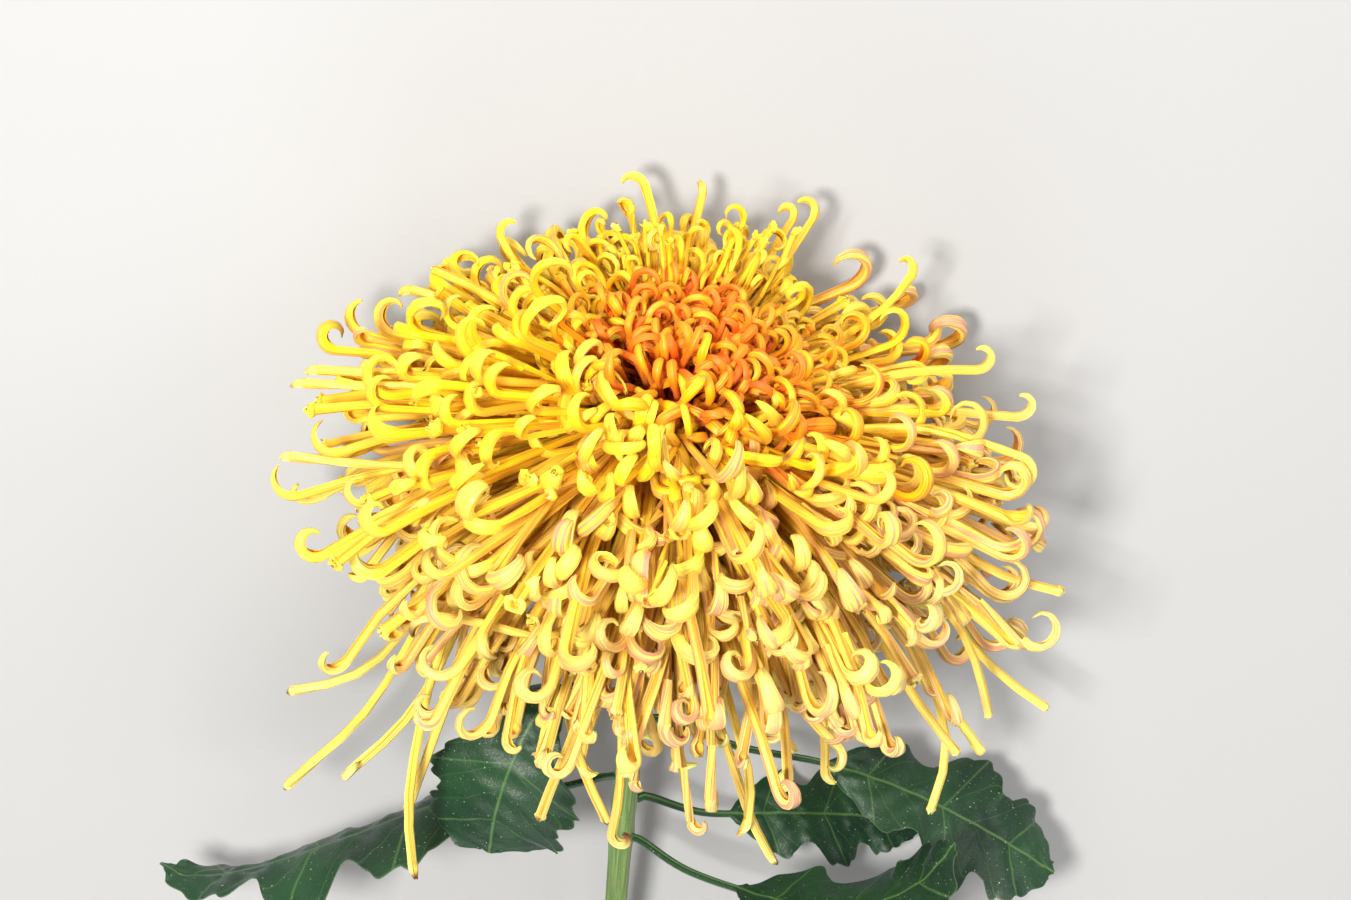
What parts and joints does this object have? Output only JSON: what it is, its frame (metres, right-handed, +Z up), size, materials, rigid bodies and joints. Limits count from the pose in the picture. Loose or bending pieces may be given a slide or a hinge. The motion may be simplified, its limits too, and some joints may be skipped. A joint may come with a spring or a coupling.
{
  "type": "cut spider chrysanthemum",
  "caption": "Spider chrysanthemum laid on its back: a dome of long tubular florets with hooked ends round a red-orange heart, on a bare stem with lobed leaves.",
  "frame": {"origin": "on the surface the flower lies on, under the middle of its bounding box", "axes": "+Y along the flower from the cut end of the stem to the crown, +Z up from the surface, +X to the right as seen with the crown pointing away"},
  "size_m": [0.2852, 0.3338, 0.1739],
  "materials": {
    "petal_yellow": "soft satin petal",
    "petal_orange": "soft satin petal",
    "leaf_green": "matt leaf with a faint bloom",
    "stem_green": "matt, finely haired"
  },
  "bodies": {
    "root": {"ray_florets": "petal_yellow", "heart_florets": "petal_orange", "involucre": "stem_green", "stem": "stem_green", "leaf_left": "leaf_green", "leaf_front": "leaf_green", "leaf_right": "leaf_green", "leaf_low": "leaf_green", "leaf_back": "leaf_green"}
  },
  "joints": []
}
